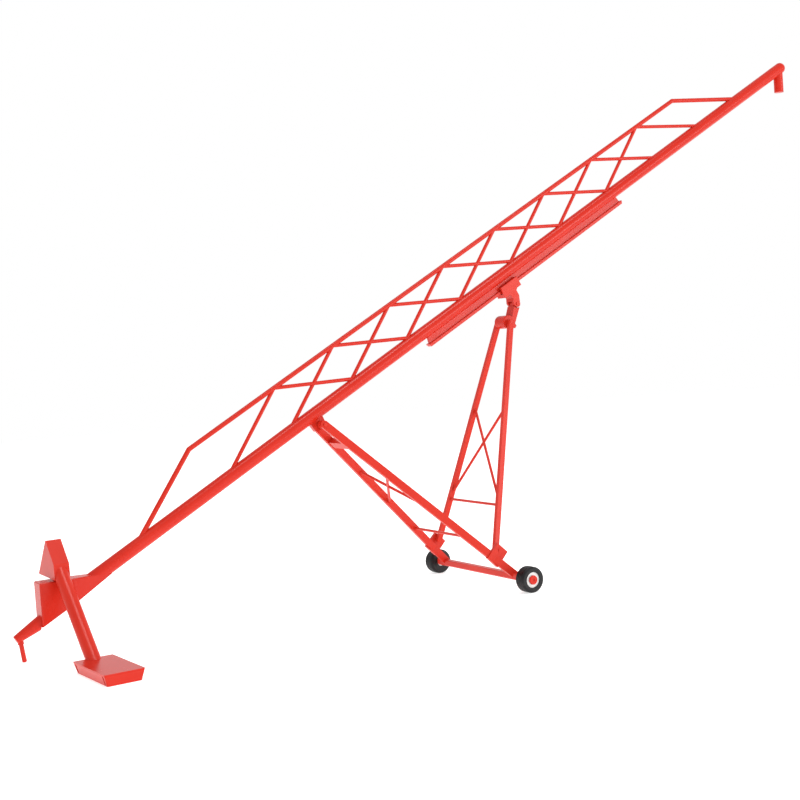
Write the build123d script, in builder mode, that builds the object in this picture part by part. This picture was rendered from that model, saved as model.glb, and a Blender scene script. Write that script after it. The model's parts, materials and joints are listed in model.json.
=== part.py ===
"""Scale model of a swing-hopper grain auger: inclined tube, bridge truss, folding undercarriage."""
from build123d import *
from math import cos, radians, sin
import os

# ---------------------------------------------------------------- driving dimensions (mm)
# main tube, drawn from its lower end, u along the tube and v square to it (upwards)
tube_angle = 28.84
tube_d = 5.2
tube_length = 412.0
tube_foot_x = 21.8
tube_foot_z = 23.2
tube_socket_u = 2.0
cap_length = 4.0

spout_x = 381.5
spout_d = 4.4
spout_bottom_z = 210.4

# bridge truss above the tube
chord_v = 18.15
chord_d = 1.9
web_d = 1.5
truss_pitch = 30.62
truss_first_u = 104.0
truss_nodes = 8
chord_start_u = 62.1
chord_end_u = 343.6
strut_low_u = 25.2
strut_high_u = 380.4
web_foot_v = 2.4

# slide rail and frame lug under the tube
rail_start_u = 172.0
rail_end_u = 292.0
rail_web_w = 1.6
rail_split_v = -5.0
rail_bottom_v = -6.4
rail_flange_w = 3.0
rail_end_slope = 2.2
lug_start_u = 108.6
lug_end_u = 114.7
lug_bottom_v = -6.5
lug_w = 2.5

# intake boot, tongue, hitch pin
boot_face_x = 6.4
boot_tip_x = 33.5
boot_top_z = 27.6
boot_half_w = 4.0
boot_tip_half_w = 1.95
boot_low_v = -2.5
boot_mid_v = -2.6
boot_tip_v = -2.15
boot_waist_x = 19.0
boot_edge_r = 0.5
boot_top_chamfer = 0.35
tongue_root_v = -1.55
tongue_tip_v = -1.3
tongue_end_u = -28.6
tongue_start_u = -14.0
tongue_root_d = 5.8
tongue_tip_d = 3.1
hitch_d = 1.66
hitch_free_z = 6.6
hitch_root_d = 2.2
hitch_top_z = 8.6
hitch_lean = 7.0
hitch_tip_lift = 0.06
hitch_tip_r = 0.4

# swing hopper: everything turns about a vertical pin in the boot
pivot_x = 13.6
swing_yaw = -86.6
pivot_pin_d = 2.4
pivot_pin_bottom_z = 23.0
pivot_pin_top_z = 30.3
hood_w = 5.7
hood_profile = [(-10.5, 29.0), (6.9, 28.3), (6.6, 33.8), (-0.3, 42.1)]
swing_tube_d = 5.2
swing_top_r = 1.0
swing_top_z = 34.9
swing_low_r = 34.4
swing_low_z = 0.44
hopper_r = 45.37
hopper_top_l = 28.7
hopper_top_w = 14.2
hopper_low_l = 27.85
hopper_low_w = 12.05
hopper_h = 4.0
lid_t = 0.7
hopper_top_r = 0.3
hopper_low_r = 0.7
hopper_slot_w = 1.0
hopper_slot_deep = 0.8
hopper_slot_r = 12.4

# undercarriage pivots, (x, z) in the plane of the tube
apex_x = 122.5
apex_z = 73.4
axle_x = 193.7
axle_z = 5.26
foot_x = 187.1
foot_z = 16.9
top_x = 213.7
top_z = 108.8
slide_pin_x = 219.2
slide_pin_z = 116.3

# lower frame
arm_w = 1.7
arm_depth = 3.1
arm_apex_y = 4.6
arm_axle_y = 26.9
apex_pin_d = 1.4
apex_pin_half_l = 6.0
barrel_d = 3.0
barrel_start_y = 1.6
plate_start_s = 10.4
plate_end_s = 13.9
plate_t = 2.6
low_brace_start_s = 31.0
low_brace_end_s = 53.5
low_rod_s = 72.0
rod_d = 1.15
foot_lug_inner_y = 23.4
foot_lug_w = 1.6
# foot lug outline, (along the arm, square to it)
foot_lug_outline = [(83.2, -2.0), (83.3, 5.6), (89.4, 5.7), (89.5, -2.0)]
foot_pin_d = 1.2
beam_x = 192.4
beam_z = 5.7
beam_size = 2.7
beam_chamfer = 0.6
beam_half_l = 31.2
stub_d = 2.0

# upper frame
leg_w = 1.9
leg_depth = 2.1
leg_top_y = 4.7
leg_foot_y = 22.1
leg_foot_r = 1.15
top_brace_start_s = 37.3
top_brace_end_s = 75.6
top_bar_s = 77.6
top_bar_d = 1.15

# link and carriage
link_barrel_d = 5.6
link_barrel_half_l = 3.5
link_half_w = 2.6
link_knuckle_half_w = 1.2
link_knuckle_r = 1.3
link_eye_clear_r = 1.85
link_pin_d = 1.2
link_pin_half_l = 5.75
# link outline seen from the side, (x, z): a plate that ends in a small lip behind the barrel
link_outline = [(218.1, 116.6), (220.5, 115.4), (217.45, 108.0), (218.1, 106.9), (217.2, 105.9), (215.6, 106.6), (215.4, 108.8)]
slide_pin_d = 1.3
slide_pin_half_l = 3.1
clip_start_u = 214.2
clip_end_u = 223.9
clip_top_v = -3.8
clip_bottom_v = -8.4
clip_tab_v = -7.9
clip_half_w = 2.75
clip_gap = 0.35
ear_half_w = 1.5
ear_r = 1.45
# neck from the clip down to the slide pin, (along the tube, square to it)
neck_outline = [(216.9, -8.4), (220.6, -8.4), (220.6, -11.0), (219.35, -13.7), (216.5, -14.1), (216.2, -12.6), (217.3, -10.6)]

# wheels
wheel_y = 35.4
wheel_d = 10.5
wheel_w = 5.4
hub_d = 6.3
hub_inner_d = 3.6
hub_inset = 0.6
hub_step = 1.3
boss_d = 3.7
boss_start_y = 37.75
boss_end_y = 38.35
boss_dimple_d = 1.0
boss_dimple_deep = 0.25
groove_w = 0.35
groove_deep = 0.4
groove_pitch = 0.95

running_gap = 0.05

# ---------------------------------------------------------------- directions and planes
tube_dir = Vector(cos(radians(tube_angle)), 0, sin(radians(tube_angle)))
tube_up = Vector(-sin(radians(tube_angle)), 0, cos(radians(tube_angle)))
tube_foot = Vector(tube_foot_x, 0, tube_foot_z)
tube_side = Plane(origin=tube_foot, x_dir=tube_dir, z_dir=(0, -1, 0))

swing_dir = Vector(cos(radians(swing_yaw)), sin(radians(swing_yaw)), 0)
swing_side = Plane(origin=(pivot_x, 0, 0), x_dir=swing_dir, z_dir=swing_dir.cross(Vector(0, 0, 1)))

apex = Vector(apex_x, 0, apex_z)
axle = Vector(axle_x, 0, axle_z)
arm_dir = (axle - apex).normalized()
arm_up = Vector(-arm_dir.Z, 0, arm_dir.X)
arm_length = (axle - apex).length
arm_side = Plane(origin=apex, x_dir=arm_dir, z_dir=(0, -1, 0))

leg_top = Vector(top_x, 0, top_z)
leg_foot = Vector(foot_x, 0, foot_z)
leg_dir = (leg_foot - leg_top).normalized()
leg_out = Vector(-leg_dir.Z, 0, leg_dir.X)
leg_length = (leg_foot - leg_top).length


def on_tube(u, v, y=0.0):
    """Point at length u along the tube, height v above its axis, y to the side."""
    return tube_foot + tube_dir * u + tube_up * v + Vector(0, y, 0)


def on_arm(s, side):
    """Point on a lower arm's centre line, s down from the apex; side is +1 or -1."""
    y = arm_apex_y + (arm_axle_y - arm_apex_y) * s / arm_length
    return apex + arm_dir * s + Vector(0, side * y, 0)


def on_leg(s, side):
    """Point on an upper leg's centre line, s down from its top eye; side is +1 or -1."""
    y = leg_top_y + (leg_foot_y - leg_top_y) * s / leg_length
    return leg_top + leg_dir * s + Vector(0, side * y, 0)


def on_swing(r, z):
    """Point in the swing assembly's upright middle plane, r out from the pivot."""
    return Vector(pivot_x, 0, z) + swing_dir * r


def rod(start, end, d, mode=Mode.ADD):
    """Round bar between two points."""
    line = end - start
    with BuildSketch(Plane(origin=start, z_dir=line)) as section:
        Circle(d / 2)
    extrude(section.sketch, amount=line.length, mode=mode)


def side_disc(x, z, r, y_from, y_to, mode=Mode.ADD):
    """Disc or pin lying across the auger, between two y values."""
    with BuildSketch(Plane(origin=(x, y_to, z), x_dir=(1, 0, 0), z_dir=(0, -1, 0))) as section:
        Circle(r)
    extrude(section.sketch, amount=y_to - y_from, mode=mode)


def flat_bar(start, end, depth_dir, depth, width, end_r):
    """Straight rectangular bar with rounded ends, depth measured along depth_dir."""
    line = end - start
    side = Plane(origin=start, x_dir=line, z_dir=line.cross(depth_dir))
    with BuildSketch(side) as section:
        Rectangle(line.length, depth, align=(Align.MIN, Align.CENTER))
        Circle(depth / 2)
        with Locations((line.length, 0)):
            Circle(end_r)
    extrude(section.sketch, amount=width / 2, both=True)


def save(name, builder):
    """Label a finished piece and write it."""
    builder.part.label = name
    export_step(builder.part, f"parts/{name}.step")


os.makedirs("parts", exist_ok=True)

# ---------------------------------------------------------------- main tube, cap and spout
with BuildPart() as main_tube:
    rod(on_tube(tube_socket_u, 0), on_tube(tube_length - cap_length, 0), tube_d)

with BuildPart() as head_cap:
    rod(on_tube(tube_length - cap_length, 0), on_tube(tube_length, 0), tube_d)
    with Locations(on_tube(tube_length, 0)):
        Sphere(tube_d / 2)

spout_top_z = tube_foot_z + (spout_x - tube_foot_x) * sin(radians(tube_angle)) / cos(radians(tube_angle))
with BuildPart() as discharge_spout:
    with BuildSketch(Plane.XY.offset(spout_bottom_z)):
        with Locations((spout_x, 0)):
            Circle(spout_d / 2)
    extrude(amount=spout_top_z - spout_bottom_z)
    rod(on_tube(300, 0), on_tube(tube_length, 0), tube_d, Mode.SUBTRACT)
    add(head_cap.part, mode=Mode.SUBTRACT)

# ---------------------------------------------------------------- bridge truss
with BuildPart() as truss_chord:
    rod(on_tube(chord_start_u, chord_v), on_tube(chord_end_u, chord_v), chord_d)
    with Locations(on_tube(chord_start_u, chord_v), on_tube(chord_end_u, chord_v)):
        Sphere(chord_d / 2)

with BuildPart() as truss_strut_low:
    rod(on_tube(strut_low_u, 0), on_tube(chord_start_u, chord_v), chord_d)
    add(truss_chord.part, mode=Mode.SUBTRACT)
    rod(on_tube(tube_socket_u, 0), on_tube(120, 0), tube_d, Mode.SUBTRACT)

with BuildPart() as truss_strut_high:
    rod(on_tube(chord_end_u, chord_v), on_tube(strut_high_u, 0), chord_d)
    add(truss_chord.part, mode=Mode.SUBTRACT)
    rod(on_tube(300, 0), on_tube(400, 0), tube_d, Mode.SUBTRACT)

# the web is a row of crosses: rising bars run whole, falling bars butt against them
web_reach = truss_pitch * (chord_v - 0.8) / (chord_v - web_foot_v)
with BuildPart() as truss_web_rising:
    for i in range(truss_nodes):
        joint_u = truss_first_u + truss_pitch * i
        rod(on_tube(joint_u - web_reach, 0.8), on_tube(joint_u, chord_v), web_d)
    rod(on_tube(chord_start_u, chord_v), on_tube(chord_end_u, chord_v), chord_d, Mode.SUBTRACT)
    rod(on_tube(40, 0), on_tube(380, 0), tube_d, Mode.SUBTRACT)

with BuildPart() as truss_web_falling:
    for i in range(truss_nodes):
        joint_u = truss_first_u + truss_pitch * i
        rod(on_tube(joint_u, chord_v), on_tube(joint_u + web_reach, 0.8), web_d)
    rod(on_tube(chord_start_u, chord_v), on_tube(chord_end_u, chord_v), chord_d, Mode.SUBTRACT)
    rod(on_tube(40, 0), on_tube(380, 0), tube_d, Mode.SUBTRACT)
    add(truss_web_rising.part, mode=Mode.SUBTRACT)

# ---------------------------------------------------------------- slide rail and pivot lug
with BuildPart() as slide_rail_web:
    with BuildSketch(tube_side):
        with BuildLine():
            Polyline(
                (rail_start_u + rail_end_slope, 0),
                (rail_end_u - rail_end_slope, 0),
                (rail_end_u - 1.0, rail_split_v),
                (rail_start_u + 1.0, rail_split_v),
                close=True,
            )
        make_face()
    extrude(amount=rail_web_w / 2, both=True)
    rod(on_tube(160, 0), on_tube(300, 0), tube_d, Mode.SUBTRACT)

with BuildPart() as slide_rail_flange:
    with BuildSketch(tube_side):
        with BuildLine():
            Polyline(
                (rail_start_u, rail_split_v),
                (rail_end_u, rail_split_v),
                (rail_end_u - 0.6, rail_bottom_v),
                (rail_start_u + 0.6, rail_bottom_v),
                close=True,
            )
        make_face()
    extrude(amount=rail_flange_w / 2, both=True)
    long_edges = slide_rail_flange.edges().filter_by(lambda e: e.length > 100)
    fillet(long_edges, radius=0.3)

with BuildPart() as frame_pivot_lug:
    with BuildSketch(tube_side):
        with BuildLine():
            Polyline(
                (lug_start_u, 0),
                (lug_end_u + 0.6, 0),
                (lug_end_u, lug_bottom_v),
                (lug_start_u + 0.8, lug_bottom_v),
                close=True,
            )
        make_face()
    extrude(amount=lug_w / 2, both=True)
    fillet(frame_pivot_lug.edges().filter_by(Axis.Y).group_by(Axis.Z)[0], radius=1.0)
    rod(on_tube(90, 0), on_tube(130, 0), tube_d, Mode.SUBTRACT)
    side_disc(apex_x, apex_z, apex_pin_d / 2 + running_gap, -lug_w, lug_w, Mode.SUBTRACT)

# ---------------------------------------------------------------- intake boot, tongue, hitch pin
face_u = (boot_face_x - tube_foot_x - tube_d / 2 * sin(radians(tube_angle))) / cos(radians(tube_angle))
tip_u = (boot_tip_x - tube_foot_x - tube_d / 2 * sin(radians(tube_angle))) / cos(radians(tube_angle))
boot_low = on_tube(face_u, boot_low_v)
mid_u = (boot_waist_x - tube_foot_x - tube_d / 2 * sin(radians(tube_angle))) / cos(radians(tube_angle))
boot_mid = on_tube(mid_u, boot_mid_v)
boot_tip = on_tube(tip_u, boot_tip_v)

with BuildPart() as intake_boot:
    with BuildSketch(Plane.XZ):
        with BuildLine():
            Polyline(
                (boot_face_x, boot_low.Z),
                (boot_mid.X, boot_mid.Z),
                (boot_tip_x, boot_tip.Z),
                (boot_tip_x, boot_top_z),
                (boot_face_x, boot_top_z),
                close=True,
            )
        make_face()
    extrude(amount=boot_half_w, both=True)
    with BuildSketch(Plane.XY):
        with BuildLine():
            Polyline(
                (boot_face_x, -boot_half_w),
                (boot_waist_x, -boot_half_w + 0.15),
                (boot_tip_x, -boot_tip_half_w),
                (boot_tip_x, boot_tip_half_w),
                (boot_waist_x, boot_half_w - 0.15),
                (boot_face_x, boot_half_w),
                close=True,
            )
        make_face()
    extrude(amount=40, mode=Mode.INTERSECT)
    fillet(intake_boot.edges().filter_by(Axis.Z).group_by(Axis.X)[0], radius=boot_edge_r)
    chamfer(intake_boot.faces().sort_by(Axis.Z)[-1].edges(), length=boot_top_chamfer)
    rod(on_tube(tube_socket_u, 0), on_tube(60, 0), tube_d, Mode.SUBTRACT)
    with BuildSketch(Plane.XY.offset(pivot_pin_bottom_z)):
        with Locations((pivot_x, 0)):
            Circle(pivot_pin_d / 2)
    extrude(amount=10, mode=Mode.SUBTRACT)

hitch_axis = Vector(-sin(radians(hitch_lean)), 0, cos(radians(hitch_lean)))
hitch_plane = Plane(origin=(0, 0, 0), x_dir=(0, 1, 0), z_dir=hitch_axis)

with BuildPart() as tow_tongue:
    with BuildSketch(Plane(origin=on_tube(tongue_start_u, tongue_root_v), z_dir=-tube_dir)):
        Circle(tongue_root_d / 2)
    with BuildSketch(Plane(origin=on_tube(tongue_end_u, tongue_tip_v), z_dir=-tube_dir)):
        Circle(tongue_tip_d / 2)
    loft()
    split(bisect_by=Plane(origin=(boot_face_x, 0, 0), z_dir=(-1, 0, 0)), keep=Keep.TOP)
    fillet(tow_tongue.edges().filter_by(GeomType.CIRCLE).sort_by(Axis.X)[0], radius=0.3)
    with BuildSketch(hitch_plane):
        Circle(hitch_root_d / 2)
    extrude(amount=hitch_top_z, mode=Mode.SUBTRACT)

# plain pin, leaning forward a little, with a thicker root let into the tongue
with BuildPart() as hitch_pin:
    with BuildSketch(hitch_plane.offset(hitch_tip_lift)):
        Circle(hitch_d / 2)
    extrude(amount=hitch_free_z - hitch_tip_lift)
    fillet(hitch_pin.edges().filter_by(GeomType.CIRCLE).sort_by(Axis.Z)[0], radius=hitch_tip_r)
    with BuildSketch(hitch_plane.offset(hitch_free_z)):
        Circle(hitch_root_d / 2)
    extrude(amount=hitch_top_z - hitch_free_z)

with BuildPart() as swing_pivot_pin:
    with BuildSketch(Plane.XY.offset(pivot_pin_bottom_z)):
        with Locations((pivot_x, 0)):
            Circle(pivot_pin_d / 2)
    extrude(amount=pivot_pin_top_z - pivot_pin_bottom_z)

# ---------------------------------------------------------------- swing hopper
hopper_centre = on_swing(hopper_r, 0)
hopper_base = Plane(origin=hopper_centre, x_dir=swing_dir, z_dir=(0, 0, 1))

lid_z = hopper_h - lid_t
lid_share = lid_z / hopper_h
seam_l = hopper_low_l + (hopper_top_l - hopper_low_l) * lid_share
seam_w = hopper_low_w + (hopper_top_w - hopper_low_w) * lid_share

with BuildPart() as hopper_shell:
    with BuildSketch(hopper_base):
        RectangleRounded(hopper_low_l, hopper_low_w, hopper_low_r)
    with BuildSketch(hopper_base.offset(lid_z)):
        RectangleRounded(seam_l, seam_w, hopper_top_r)
    loft()
    # narrow upright slots near both ends of the outer long side
    with BuildSketch(hopper_base.offset(0.5)):
        with Locations((-hopper_slot_r, -hopper_top_w / 2), (hopper_slot_r, -hopper_top_w / 2)):
            Rectangle(hopper_slot_w, 2 * hopper_slot_deep + 1.0)
    extrude(amount=hopper_h, mode=Mode.SUBTRACT)

with BuildPart() as hopper_lid:
    with BuildSketch(hopper_base.offset(lid_z)):
        RectangleRounded(seam_l, seam_w, hopper_top_r)
    with BuildSketch(hopper_base.offset(hopper_h)):
        RectangleRounded(hopper_top_l, hopper_top_w, hopper_top_r)
    loft()

with BuildPart() as swing_tube:
    rod(on_swing(swing_top_r, swing_top_z), on_swing(swing_low_r, swing_low_z), swing_tube_d)
    split(bisect_by=Plane.XY.offset(0.4), keep=Keep.TOP)
    with BuildSketch(hopper_base):
        Rectangle(hopper_low_l, hopper_low_w)
    with BuildSketch(hopper_base.offset(hopper_h)):
        Rectangle(hopper_top_l, hopper_top_w)
    loft(mode=Mode.SUBTRACT)

with BuildPart() as swing_hood:
    with BuildSketch(swing_side):
        with BuildLine():
            Polyline(*hood_profile, close=True)
        make_face()
        fillet(vertices(), radius=0.25)
    extrude(amount=hood_w / 2, both=True)
    rod(on_swing(swing_top_r, swing_top_z), on_swing(swing_low_r, swing_low_z), swing_tube_d, Mode.SUBTRACT)
    with BuildSketch(Plane.XY.offset(20)):
        with Locations((pivot_x, 0)):
            Circle(pivot_pin_d / 2 + running_gap)
    extrude(amount=pivot_pin_top_z + 0.1 - 20, mode=Mode.SUBTRACT)

# ---------------------------------------------------------------- lower frame
lower_arms = {}
foot_lugs = {}
stub_axles = {}
axle_bosses = {}
for name, side in (("left", 1), ("right", -1)):
    lug_inner = foot_lug_inner_y if side > 0 else -foot_lug_inner_y - foot_lug_w
    lug_outer = lug_inner + foot_lug_w
    with BuildPart() as arm:
        flat_bar(on_arm(0, side), on_arm(arm_length, side), arm_up, arm_depth, arm_w, arm_depth / 2)
        side_disc(apex_x, apex_z, apex_pin_d / 2, -20, 20, Mode.SUBTRACT)
        # the arm stops against the upper front corner of the axle beam
        with BuildSketch(Plane.XZ.offset(-60)):
            with Locations((beam_x - beam_size / 2, beam_z + beam_size / 2)):
                Rectangle(20, 20, align=(Align.MIN, Align.MAX))
        extrude(amount=120, mode=Mode.SUBTRACT)
    lower_arms[name] = arm
    with BuildPart() as lug:
        with BuildSketch(Plane(origin=(apex_x, lug_outer, apex_z), x_dir=arm_dir, z_dir=(0, -1, 0))):
            with BuildLine():
                Polyline(*foot_lug_outline, close=True)
            make_face()
        extrude(amount=foot_lug_w)
        side_disc(foot_x, foot_z, foot_pin_d / 2 + running_gap, lug_inner - 1, lug_outer + 1, Mode.SUBTRACT)
        add(arm.part, mode=Mode.SUBTRACT)
    foot_lugs[name] = lug
    stub_start = beam_half_l if side > 0 else -boss_start_y
    stub_end = boss_start_y if side > 0 else -beam_half_l
    with BuildPart() as stub:
        side_disc(axle_x, axle_z, stub_d / 2, stub_start, stub_end)
    stub_axles[name] = stub
    boss_from = boss_start_y if side > 0 else -boss_end_y
    with BuildPart() as boss:
        side_disc(axle_x, axle_z, boss_d / 2, boss_from, boss_from + boss_end_y - boss_start_y)
        outer = boss.faces().sort_by(Axis.Y)[-1 if side > 0 else 0]
        fillet(outer.edges(), radius=0.2)
        dimple_from = boss_end_y - boss_dimple_deep if side > 0 else -boss_end_y - 1
        dimple_to = dimple_from + 1 + boss_dimple_deep
        side_disc(axle_x, axle_z, boss_dimple_d / 2, dimple_from, dimple_to, Mode.SUBTRACT)
    axle_bosses[name] = boss

with BuildPart() as apex_pin:
    side_disc(apex_x, apex_z, apex_pin_d / 2, -apex_pin_half_l, apex_pin_half_l)

with BuildPart() as apex_barrels:
    side_disc(apex_x, apex_z, barrel_d / 2, barrel_start_y, arm_apex_y)
    side_disc(apex_x, apex_z, barrel_d / 2, -arm_apex_y, -barrel_start_y)
    side_disc(apex_x, apex_z, apex_pin_d / 2, -20, 20, Mode.SUBTRACT)
    add(lower_arms["left"].part, mode=Mode.SUBTRACT)
    add(lower_arms["right"].part, mode=Mode.SUBTRACT)

with BuildPart() as cross_plate:
    with BuildSketch(arm_side):
        with Locations(((plate_start_s + plate_end_s) / 2, 0)):
            Rectangle(plate_end_s - plate_start_s, plate_t)
    plate_y = arm_apex_y + (arm_axle_y - arm_apex_y) * plate_end_s / arm_length
    extrude(amount=plate_y, both=True)
    add(lower_arms["left"].part, mode=Mode.SUBTRACT)
    add(lower_arms["right"].part, mode=Mode.SUBTRACT)

with BuildPart() as lower_brace_long:
    rod(on_arm(low_brace_start_s, 1), on_arm(low_brace_end_s, -1), rod_d)
    add(lower_arms["left"].part, mode=Mode.SUBTRACT)
    add(lower_arms["right"].part, mode=Mode.SUBTRACT)

with BuildPart() as lower_brace_halves:
    rod(on_arm(low_brace_start_s, -1), on_arm(low_brace_end_s, 1), rod_d)
    add(lower_arms["left"].part, mode=Mode.SUBTRACT)
    add(lower_arms["right"].part, mode=Mode.SUBTRACT)
    add(lower_brace_long.part, mode=Mode.SUBTRACT)

with BuildPart() as lower_cross_rod:
    rod(on_arm(low_rod_s, 1), on_arm(low_rod_s, -1), rod_d)
    add(lower_arms["left"].part, mode=Mode.SUBTRACT)
    add(lower_arms["right"].part, mode=Mode.SUBTRACT)

with BuildPart() as axle_beam:
    with BuildSketch(Plane.XZ.offset(-beam_half_l)):
        with Locations((beam_x, beam_z)):
            RectangleRounded(beam_size, beam_size, 0.25)
    extrude(amount=2 * beam_half_l)
    # the lower front edge is cut back to a narrow slope
    with BuildSketch(Plane.XZ.offset(-beam_half_l)):
        with Locations((beam_x - beam_size / 2, beam_z - beam_size / 2)):
            Rectangle(beam_chamfer * 2**0.5, beam_chamfer * 2**0.5, rotation=45)
    extrude(amount=2 * beam_half_l, mode=Mode.SUBTRACT)

# ---------------------------------------------------------------- upper frame
upper_legs = {}
foot_pins = {}
for name, side in (("left", 1), ("right", -1)):
    with BuildPart() as leg:
        flat_bar(on_leg(0, side), on_leg(leg_length, side), leg_out, leg_depth, leg_w, leg_foot_r)
        with BuildSketch(Plane(origin=(top_x, 0, top_z), x_dir=(1, 0, 0), z_dir=(0, -1, 0))) as stop:
            Circle(6)
        extrude(stop.sketch, amount=leg_top_y - leg_w / 2, both=True, mode=Mode.SUBTRACT)
        side_disc(top_x, top_z, link_pin_d / 2 + running_gap, -20, 20, Mode.SUBTRACT)
        side_disc(foot_x, foot_z, foot_pin_d / 2, -40, 40, Mode.SUBTRACT)
    upper_legs[name] = leg
    pin_outer = foot_lug_inner_y + foot_lug_w + 0.3
    pin_from = leg_foot_y - leg_w / 2 if side > 0 else -pin_outer
    with BuildPart() as foot_pin:
        side_disc(foot_x, foot_z, foot_pin_d / 2, pin_from, pin_from + pin_outer - leg_foot_y + leg_w / 2)
    foot_pins[name] = foot_pin

with BuildPart() as upper_brace_long:
    rod(on_leg(top_brace_start_s, 1), on_leg(top_brace_end_s, -1), rod_d)
    add(upper_legs["left"].part, mode=Mode.SUBTRACT)
    add(upper_legs["right"].part, mode=Mode.SUBTRACT)

with BuildPart() as upper_brace_halves:
    rod(on_leg(top_brace_start_s, -1), on_leg(top_brace_end_s, 1), rod_d)
    add(upper_legs["left"].part, mode=Mode.SUBTRACT)
    add(upper_legs["right"].part, mode=Mode.SUBTRACT)
    add(upper_brace_long.part, mode=Mode.SUBTRACT)

with BuildPart() as upper_cross_bar:
    rod(on_leg(top_bar_s, 1), on_leg(top_bar_s, -1), top_bar_d)
    add(upper_legs["left"].part, mode=Mode.SUBTRACT)
    add(upper_legs["right"].part, mode=Mode.SUBTRACT)

# ---------------------------------------------------------------- link and carriage
with BuildPart() as link_barrel:
    side_disc(top_x, top_z, link_barrel_d / 2, -link_barrel_half_l, link_barrel_half_l)
    fillet(link_barrel.edges().filter_by(GeomType.CIRCLE), radius=0.3)
    side_disc(top_x, top_z, link_pin_d / 2, -20, 20, Mode.SUBTRACT)

with BuildPart() as link_pin:
    side_disc(top_x, top_z, link_pin_d / 2, -link_pin_half_l, link_pin_half_l)

with BuildPart() as link_plate:
    with BuildSketch(Plane.XZ):
        with BuildLine():
            Polyline(*link_outline, close=True)
        make_face()
        fillet(vertices(), radius=0.25)
    extrude(amount=link_half_w, both=True)
    side_disc(slide_pin_x, slide_pin_z, link_eye_clear_r, -10, 10, Mode.SUBTRACT)
    # knuckle between the carriage's ears
    with BuildSketch(Plane.XZ):
        with Locations((slide_pin_x, slide_pin_z)):
            Circle(link_knuckle_r)
        with BuildLine():
            Polyline(
                (slide_pin_x - 1.2, slide_pin_z),
                (slide_pin_x + 1.2, slide_pin_z),
                (slide_pin_x + 0.2, slide_pin_z - 3.0),
                (slide_pin_x - 1.9, slide_pin_z - 3.0),
                close=True,
            )
        make_face()
    extrude(amount=link_knuckle_half_w, both=True)
    side_disc(slide_pin_x, slide_pin_z, slide_pin_d / 2 + running_gap, -10, 10, Mode.SUBTRACT)
    side_disc(top_x, top_z, link_barrel_d / 2, -10, 10, Mode.SUBTRACT)

pin_rel = Vector(slide_pin_x, 0, slide_pin_z) - tube_foot
pin_u = pin_rel.dot(tube_dir)
pin_v = pin_rel.dot(tube_up)

with BuildPart() as carriage_clip:
    with BuildSketch(tube_side):
        with BuildLine():
            Polyline(
                (clip_start_u, clip_top_v),
                (clip_end_u, clip_top_v),
                (clip_end_u, clip_tab_v),
                (clip_end_u - 2.4, clip_tab_v),
                (clip_end_u - 3.0, clip_bottom_v),
                (clip_start_u - 0.4, clip_bottom_v),
                close=True,
            )
        make_face()
    extrude(amount=clip_half_w, both=True)
    # channel that the rail runs through, open at the top for the rail's web
    with BuildSketch(Plane(origin=on_tube(clip_start_u - 5, 0), x_dir=(0, 1, 0), z_dir=tube_dir)):
        with Locations((0, (rail_split_v + rail_bottom_v) / 2)):
            Rectangle(rail_flange_w + 2 * clip_gap, rail_split_v - rail_bottom_v + 2 * clip_gap)
        with Locations((0, rail_split_v + 1.5)):
            Rectangle(rail_web_w + 2 * clip_gap, 3.0)
    extrude(amount=30, mode=Mode.SUBTRACT)

with BuildPart() as carriage_ears:
    with BuildSketch(tube_side):
        with BuildLine():
            Polyline(*neck_outline, close=True)
        make_face()
        with Locations((pin_u, pin_v)):
            Circle(ear_r)
    extrude(amount=clip_half_w, both=True)
    # the ears are solid across where they leave the clip and fork lower down
    with BuildSketch(tube_side):
        with Locations((pin_u, pin_v)):
            Rectangle(12, 2 * link_eye_clear_r)
    extrude(amount=ear_half_w, both=True, mode=Mode.SUBTRACT)
    side_disc(slide_pin_x, slide_pin_z, slide_pin_d / 2, -10, 10, Mode.SUBTRACT)

with BuildPart() as slide_pin:
    side_disc(slide_pin_x, slide_pin_z, slide_pin_d / 2, -slide_pin_half_l, slide_pin_half_l)

# ---------------------------------------------------------------- wheels
hubs = {}
tyres = {}
for name, side in (("left", 1), ("right", -1)):
    centre = side * wheel_y
    inner_from = centre - side * wheel_w / 2
    step_at = inner_from + side * hub_step
    with BuildPart() as hub:
        outer_face = centre + side * (wheel_w / 2 - hub_inset)
        side_disc(axle_x, axle_z, hub_d / 2, min(step_at, outer_face), max(step_at, outer_face))
        side_disc(axle_x, axle_z, hub_inner_d / 2, min(inner_from, step_at), max(inner_from, step_at))
        side_disc(axle_x, axle_z, stub_d / 2 + running_gap, centre - 5, centre + 5, Mode.SUBTRACT)
    hubs[name] = hub
    with BuildPart() as tyre:
        side_disc(axle_x, axle_z, wheel_d / 2, centre - wheel_w / 2, centre + wheel_w / 2)
        fillet(tyre.edges().filter_by(GeomType.CIRCLE), radius=0.9)
        far = centre + side * 5
        side_disc(axle_x, axle_z, hub_d / 2, min(step_at, far), max(step_at, far), Mode.SUBTRACT)
        side_disc(axle_x, axle_z, hub_inner_d / 2, centre - 5, centre + 5, Mode.SUBTRACT)
        # tread grooves round the tyre
        for step in (-1.5, -0.5, 0.5, 1.5):
            groove = centre + step * groove_pitch
            with BuildSketch(Plane(origin=(axle_x, groove + groove_w / 2, axle_z), z_dir=(0, -1, 0))) as ring:
                Circle(wheel_d / 2 + 1)
                Circle(wheel_d / 2 - groove_deep, mode=Mode.SUBTRACT)
            extrude(ring.sketch, amount=groove_w, mode=Mode.SUBTRACT)
    tyres[name] = tyre

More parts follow.
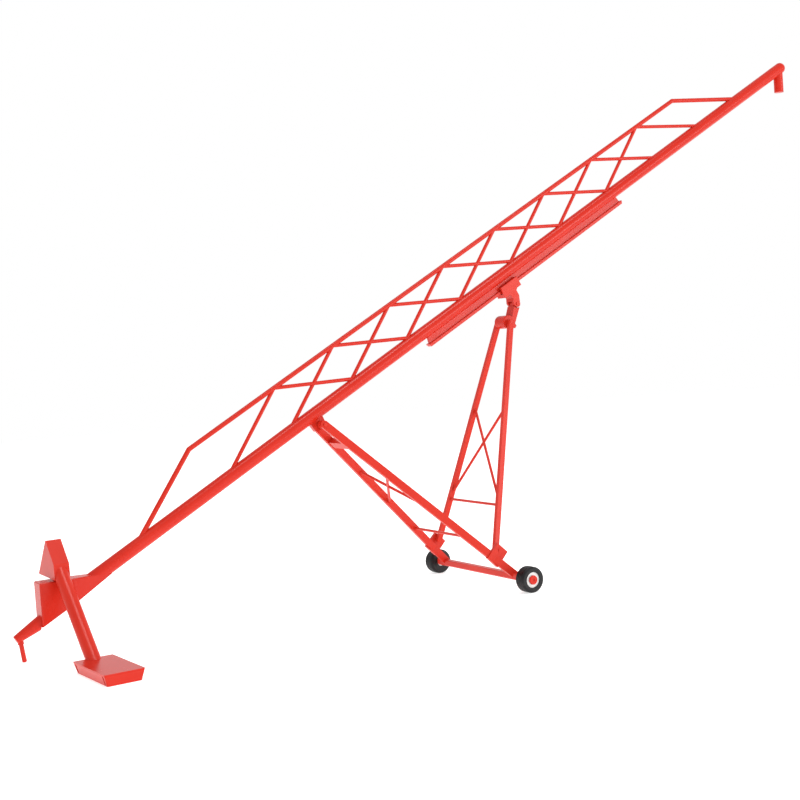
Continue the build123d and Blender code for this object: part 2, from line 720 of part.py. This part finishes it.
# ---------------------------------------------------------------- write the pieces
save("main_tube", main_tube)
save("head_cap", head_cap)
save("discharge_spout", discharge_spout)
save("truss_chord", truss_chord)
save("truss_strut_low", truss_strut_low)
save("truss_strut_high", truss_strut_high)
save("truss_web_rising", truss_web_rising)
save("truss_web_falling", truss_web_falling)
save("slide_rail_web", slide_rail_web)
save("slide_rail_flange", slide_rail_flange)
save("frame_pivot_lug", frame_pivot_lug)
save("intake_boot", intake_boot)
save("tow_tongue", tow_tongue)
save("hitch_pin", hitch_pin)
save("swing_pivot_pin", swing_pivot_pin)
save("swing_hood", swing_hood)
save("swing_tube", swing_tube)
save("hopper_shell", hopper_shell)
save("hopper_lid", hopper_lid)
save("apex_pin", apex_pin)
save("apex_barrels", apex_barrels)
save("cross_plate", cross_plate)
save("lower_brace_long", lower_brace_long)
save("lower_brace_halves", lower_brace_halves)
save("lower_cross_rod", lower_cross_rod)
save("axle_beam", axle_beam)
save("upper_brace_long", upper_brace_long)
save("upper_brace_halves", upper_brace_halves)
save("upper_cross_bar", upper_cross_bar)
save("link_barrel", link_barrel)
save("link_pin", link_pin)
save("link_plate", link_plate)
save("carriage_clip", carriage_clip)
save("carriage_ears", carriage_ears)
save("slide_pin", slide_pin)
for name in ("left", "right"):
    save(f"lower_arm_{name}", lower_arms[name])
    save(f"foot_lug_{name}", foot_lugs[name])
    save(f"stub_axle_{name}", stub_axles[name])
    save(f"axle_boss_{name}", axle_bosses[name])
    save(f"upper_leg_{name}", upper_legs[name])
    save(f"foot_pin_{name}", foot_pins[name])
    save(f"wheel_hub_{name}", hubs[name])
    save(f"tyre_{name}", tyres[name])
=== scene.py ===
"""Looks for the moulded grain auger model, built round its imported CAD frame."""

import json
import math

import bmesh
import bpy
from mathutils import Matrix, Vector


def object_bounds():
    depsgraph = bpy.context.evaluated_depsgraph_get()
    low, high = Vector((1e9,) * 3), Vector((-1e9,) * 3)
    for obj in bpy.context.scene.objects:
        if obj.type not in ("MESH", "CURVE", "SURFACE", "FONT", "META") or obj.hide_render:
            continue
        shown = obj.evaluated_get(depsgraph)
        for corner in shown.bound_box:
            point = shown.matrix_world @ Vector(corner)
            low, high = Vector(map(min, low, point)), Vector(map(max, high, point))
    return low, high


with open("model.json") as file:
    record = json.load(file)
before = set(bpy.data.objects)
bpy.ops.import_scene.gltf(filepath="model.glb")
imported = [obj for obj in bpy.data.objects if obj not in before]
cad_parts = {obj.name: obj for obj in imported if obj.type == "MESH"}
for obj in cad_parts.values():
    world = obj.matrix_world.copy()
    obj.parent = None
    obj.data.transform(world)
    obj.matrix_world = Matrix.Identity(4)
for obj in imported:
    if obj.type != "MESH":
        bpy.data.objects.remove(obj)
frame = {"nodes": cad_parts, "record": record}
cad_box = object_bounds()
scene = bpy.context.scene
MM = 0.001


# ------------------------------------------------------------------ materials
class Nodes:
    """Short way to write a node material."""

    def __init__(self, name):
        self.material = bpy.data.materials.new(name)
        self.material.use_nodes = True
        self.tree = self.material.node_tree
        self.shader = self.tree.nodes["Principled BSDF"]
        self.coords = self.add("ShaderNodeTexCoord").outputs["Object"]

    def connect(self, socket, value):
        """Link a socket to another, or give it a plain value."""
        if isinstance(value, bpy.types.NodeSocket):
            self.tree.links.new(value, socket)
        else:
            socket.default_value = value

    def add(self, kind, **inputs):
        """New node with its inputs set. An underscore is a space, and i0 and i1 are places in the list."""
        node = self.tree.nodes.new(kind)
        for key, value in inputs.items():
            self.put(node, key.replace("_", " "), value)
        return node

    def put(self, node, name, value):
        by_place = name[1:].isdigit()
        self.connect(node.inputs[int(name[1:])] if by_place else node.inputs[name], value)

    def noise(self, scale, detail=3.0, rough=0.5, stretch=None):
        coords = self.coords
        if stretch:
            coords = self.add("ShaderNodeMapping", Vector=self.coords, Scale=stretch).outputs[0]
        node = self.add("ShaderNodeTexNoise", Vector=coords, Scale=scale, Detail=detail, Roughness=rough)
        return node.outputs["Fac"]

    def ramp(self, value, low, high, to_low=0.0, to_high=1.0):
        """Map low..high to to_low..to_high, held flat outside."""
        limits = {"From_Min": low, "From_Max": high, "To_Min": to_low, "To_Max": to_high}
        return self.add("ShaderNodeMapRange", Value=value, **limits).outputs[0]

    def mix(self, factor, a, b):
        node = self.tree.nodes.new("ShaderNodeMix")
        node.data_type = "RGBA"
        for key, value in (("Factor", factor), ("A", a), ("B", b)):
            self.connect(next(s for s in node.inputs if s.name == key and s.enabled), value)
        return next(s for s in node.outputs if s.enabled)

    def bump(self, height, strength, distance):
        return self.add("ShaderNodeBump", Height=height, Strength=strength, Distance=distance).outputs[0]

    def finish(self, color, roughness, normal=None):
        self.put(self.shader, "Base Color", color)
        self.put(self.shader, "Roughness", roughness)
        if normal:
            self.put(self.shader, "Normal", normal)
        return self.material


TUBE_RED = (0.61, 0.026, 0.012, 1.0)
FRAME_RED = (0.62, 0.028, 0.013, 1.0)
LID_RED = (0.60, 0.026, 0.014, 1.0)
DARK_RED = (0.55, 0.017, 0.007, 1.0)
PALE_RED = (0.82, 0.07, 0.045, 1.0)
PLASTIC_IOR = 1.49
# noise scales, in cells per metre
FLOW_CELLS = 55.0
SCUFF_CELLS = 220.0
DUST_CELLS = 420.0
FLOW_SHARE = 0.7
DUST_SHARE = 0.06
SCUFF_DULLING = 0.08


def moulded_plastic(name, color, rough, gloss=0.2, edge_highlight=0.12):
    """Injection-moulded plastic: flow mottling, light dust, scuffed patches, and a painted highlight that
    turns sharp edges paler red.
    """
    n = Nodes(name)
    flow = n.noise(FLOW_CELLS, stretch=(1.0, 1.0, 0.6))
    base = n.mix(n.ramp(flow, 0.3, 0.72, to_high=FLOW_SHARE), color, DARK_RED)
    dust = n.noise(DUST_CELLS, rough=0.55)
    base = n.mix(n.ramp(dust, 0.6, 0.8, to_high=DUST_SHARE), base, PALE_RED)
    # painted highlight: where Pointiness marks a sharp convex edge the colour turns paler red, standing in
    # for light catching the rounded edge
    if edge_highlight:
        edge = n.add("ShaderNodeNewGeometry").outputs["Pointiness"]
        base = n.mix(n.ramp(edge, 0.53, 0.62, to_high=edge_highlight), base, PALE_RED)
    scuff = n.ramp(n.noise(SCUFF_CELLS, detail=5.0, rough=0.6, stretch=(1.0, 3.0, 1.0)), 0.55, 0.75)
    n.put(n.shader, "IOR", PLASTIC_IOR)
    n.put(n.shader, "Specular IOR Level", gloss)
    return n.finish(base, n.ramp(scuff, 0.0, 1.0, rough, rough + SCUFF_DULLING))


TYRE_BLACK = (0.008, 0.008, 0.009, 1.0)
TYRE_DUST = (0.028, 0.027, 0.026, 1.0)
TYRE_GRAIN_CELLS = 2400.0
HUB_WHITE = (0.86, 0.855, 0.84, 1.0)
HUB_GRIME = (0.76, 0.75, 0.72, 1.0)
HUB_GRIME_CELLS = 380.0
HUB_GRAIN_CELLS = 1800.0
GRAIN_DEPTH = 0.04 * MM


def tyre_black():
    """Soft black moulded tyre with a little dust in the grain."""
    n = Nodes("tyre_black")
    dust = n.ramp(n.noise(DUST_CELLS, detail=5.0, rough=0.6), 0.5, 0.75)
    grain = n.bump(n.noise(TYRE_GRAIN_CELLS, rough=0.6), 0.15, GRAIN_DEPTH)
    n.put(n.shader, "Specular IOR Level", 0.25)
    return n.finish(n.mix(dust, TYRE_BLACK, TYRE_DUST), n.ramp(dust, 0.0, 1.0, 0.38, 0.55), grain)


def hub_white():
    """White moulded hub, a little dull in places."""
    n = Nodes("hub_white")
    grime = n.ramp(n.noise(HUB_GRIME_CELLS, detail=5.0, rough=0.6), 0.5, 0.8)
    grain = n.bump(n.noise(HUB_GRAIN_CELLS), 0.08, GRAIN_DEPTH)
    return n.finish(n.mix(grime, HUB_WHITE, HUB_GRIME), n.ramp(grime, 0.0, 1.0, 0.26, 0.36), grain)


# the material that each slot of the record gets, and the one node that has its own
material_for_slot = {
    "tube_plastic": moulded_plastic("tube_red", TUBE_RED, rough=0.26, gloss=0.22, edge_highlight=0.0),
    "truss_plastic": moulded_plastic("truss_red", TUBE_RED, rough=0.28, gloss=0.22, edge_highlight=0.0),
    "frame_plastic": moulded_plastic("frame_red", FRAME_RED, rough=0.34),
    "hopper_plastic": moulded_plastic("hopper_red", FRAME_RED, rough=0.28),
    "tyre_rubber": tyre_black(),
    "hub_plastic": hub_white(),
}
material_for_node = {"hopper_lid": moulded_plastic("lid_red", LID_RED, rough=0.22, gloss=0.12, edge_highlight=0.1)}
slot_of = {s["node"]: s["material_slot"] for s in frame["record"]["subparts"]}
for node_name, node in frame["nodes"].items():
    material = material_for_node.get(node_name, material_for_slot[slot_of[node_name]])
    if not node.material_slots:
        node.data.materials.append(material)
    for material_slot in node.material_slots:
        material_slot.material = material

# ------------------------------------------------------------------ softened moulded edges
# width of the rounding, in millimetres, and the nodes that have it
SOFT_EDGES = {
    0.22: ("intake_boot", "lower_arm_left", "lower_arm_right", "upper_leg_left", "upper_leg_right"),
    0.20: ("swing_hood", "foot_lug_left", "foot_lug_right", "cross_plate"),
    0.18: ("frame_pivot_lug",),
    0.16: ("hopper_shell", "hopper_lid", "link_plate", "carriage_clip", "carriage_ears"),
    0.14: ("axle_beam",),
    0.10: ("wheel_hub_left", "wheel_hub_right"),
}
# edges that turn by less than this stay as they are
LEAST_TURN = math.radians(35)
for width, node_names in SOFT_EDGES.items():
    for node_name in node_names:
        bevel = frame["nodes"][node_name].modifiers.new("soft_edge", "BEVEL")
        bevel.width = width * MM
        bevel.segments = 3
        bevel.limit_method = "ANGLE"
        bevel.angle_limit = LEAST_TURN

# ------------------------------------------------------------------ floor
WHITE = (1.0, 1.0, 1.0, 1.0)
FLOOR_LIGHT = (0.95, 0.95, 0.95, 1.0)
FLOOR_SHADED = (0.93, 0.93, 0.93, 1.0)
FLOOR_RADIUS = 6.0
FLOOR_MIDDLE_X = 0.17
FLOOR_GAP = 0.02 * MM
FLOOR_GLOW = 0.60
# the floor takes shadows inside the first radius and is plain white from the second
MATT_RADIUS = 0.55
WHITE_RADIUS = MATT_RADIUS * 2.6


def floor_material():
    """Pale matt floor that fades into the white surround away from the object."""
    n = Nodes("floor_pale")
    from_middle = n.add("ShaderNodeMapping", Vector=n.coords, Location=(-FLOOR_MIDDLE_X, 0.0, 0.0))
    distance = n.add("ShaderNodeVectorMath", i0=from_middle.outputs[0])
    distance.operation = "LENGTH"
    fade = n.ramp(distance.outputs["Value"], MATT_RADIUS, WHITE_RADIUS)
    patches = n.ramp(n.noise(3.0, detail=2.0), 0.3, 0.7)
    n.put(n.shader, "Specular IOR Level", 0.1)
    n.put(n.shader, "Emission Color", WHITE)
    n.put(n.shader, "Emission Strength", FLOOR_GLOW)
    n.finish(n.mix(patches, FLOOR_SHADED, FLOOR_LIGHT), 0.6)
    glow = n.add("ShaderNodeEmission", Color=WHITE, Strength=1.0)
    blend = n.add("ShaderNodeMixShader", Fac=fade, i1=n.shader.outputs[0], i2=glow.outputs[0])
    n.put(n.tree.nodes["Material Output"], "Surface", blend.outputs[0])
    return n.material


floor_mesh = bpy.data.meshes.new("floor")
disc = bmesh.new()
bmesh.ops.create_circle(disc, cap_ends=True, segments=64, radius=FLOOR_RADIUS)
disc.to_mesh(floor_mesh)
disc.free()
floor_mesh.materials.append(floor_material())
floor = bpy.data.objects.new("floor", floor_mesh)
floor.location.z = cad_box[0][2] - FLOOR_GAP
scene.collection.objects.link(floor)

# ------------------------------------------------------------------ surround and lights
# axis, from and to along it, and the brightness at each end
SURROUND_DIMMING = (
    ("Z", 0.28, 0.9, 1.0, 0.62),
    ("X", -0.60, 0.15, 0.80, 1.0),
)


def shade_surround(tree):
    """White surround, dimmer overhead and dimmer on the -X side."""
    direction = tree.nodes.new("ShaderNodeTexCoord").outputs["Generated"]
    parts = tree.nodes.new("ShaderNodeSeparateXYZ")
    tree.links.new(direction, parts.inputs[0])
    product = tree.nodes.new("ShaderNodeMath")
    product.operation = "MULTIPLY"
    for place, (axis, start, end, low, high) in enumerate(SURROUND_DIMMING):
        ramp = tree.nodes.new("ShaderNodeMapRange")
        ramp.interpolation_type = "SMOOTHSTEP"
        tree.links.new(parts.outputs[axis], ramp.inputs["Value"])
        for key, value in (("From Min", start), ("From Max", end), ("To Min", low), ("To Max", high)):
            ramp.inputs[key].default_value = value
        tree.links.new(ramp.outputs[0], product.inputs[place])
    background = tree.nodes["Background"]
    background.inputs["Color"].default_value = WHITE
    tree.links.new(product.outputs[0], background.inputs["Strength"])


def softbox(name, place, target, size, power):
    """Rectangular studio light facing a point."""
    light = bpy.data.lights.new(name, "AREA")
    light.shape = "RECTANGLE"
    light.size, light.size_y = size
    light.energy = power
    lamp = bpy.data.objects.new(name, light)
    lamp.location = place
    lamp.rotation_euler = (Vector(target) - Vector(place)).to_track_quat("-Z", "Y").to_euler()
    scene.collection.objects.link(lamp)


world = bpy.data.worlds.new("studio")
world.use_nodes = True
shade_surround(world.node_tree)
scene.world = world
softbox("overhead", place=(0.12, -0.33, 1.45), target=(0.15, 0.0, 0.08), size=(0.6, 0.35), power=6.5)
softbox("right", place=(1.05, -1.15, 0.20), target=(0.2, 0.0, 0.08), size=(0.55, 0.5), power=5.0)
# Blender's default transform would wash out the red
scene.view_settings.view_transform = "Standard"

# ------------------------------------------------------------------ camera
CAMERA_AT = Vector((-120.8, -495.65, 105.7)) * MM
# azimuth turns from +Y towards +X, and a negative roll lowers the camera's right side
AZIMUTH, ELEVATION, ROLL = (math.radians(a) for a in (29.533, -2.585, -4.007))
SENSOR_WIDTH_MM = 36.0
LENS_MM = 62.82
CLIP_START = 0.01

level = Vector((math.cos(AZIMUTH), -math.sin(AZIMUTH), 0.0))
look = Vector((
    math.sin(AZIMUTH) * math.cos(ELEVATION),
    math.cos(AZIMUTH) * math.cos(ELEVATION),
    math.sin(ELEVATION),
))
upright = level.cross(look)
right = math.cos(ROLL) * level + math.sin(ROLL) * upright
up = math.cos(ROLL) * upright - math.sin(ROLL) * level
camera_data = bpy.data.cameras.new("camera")
camera_data.sensor_width = SENSOR_WIDTH_MM
camera_data.lens = LENS_MM
camera_data.clip_start = CLIP_START
camera = bpy.data.objects.new("camera", camera_data)
turn = Matrix((right, up, -look)).transposed()
camera.matrix_world = Matrix.Translation(CAMERA_AT) @ turn.to_4x4()
scene.collection.objects.link(camera)
scene.camera = camera

bpy.context.view_layer.update()
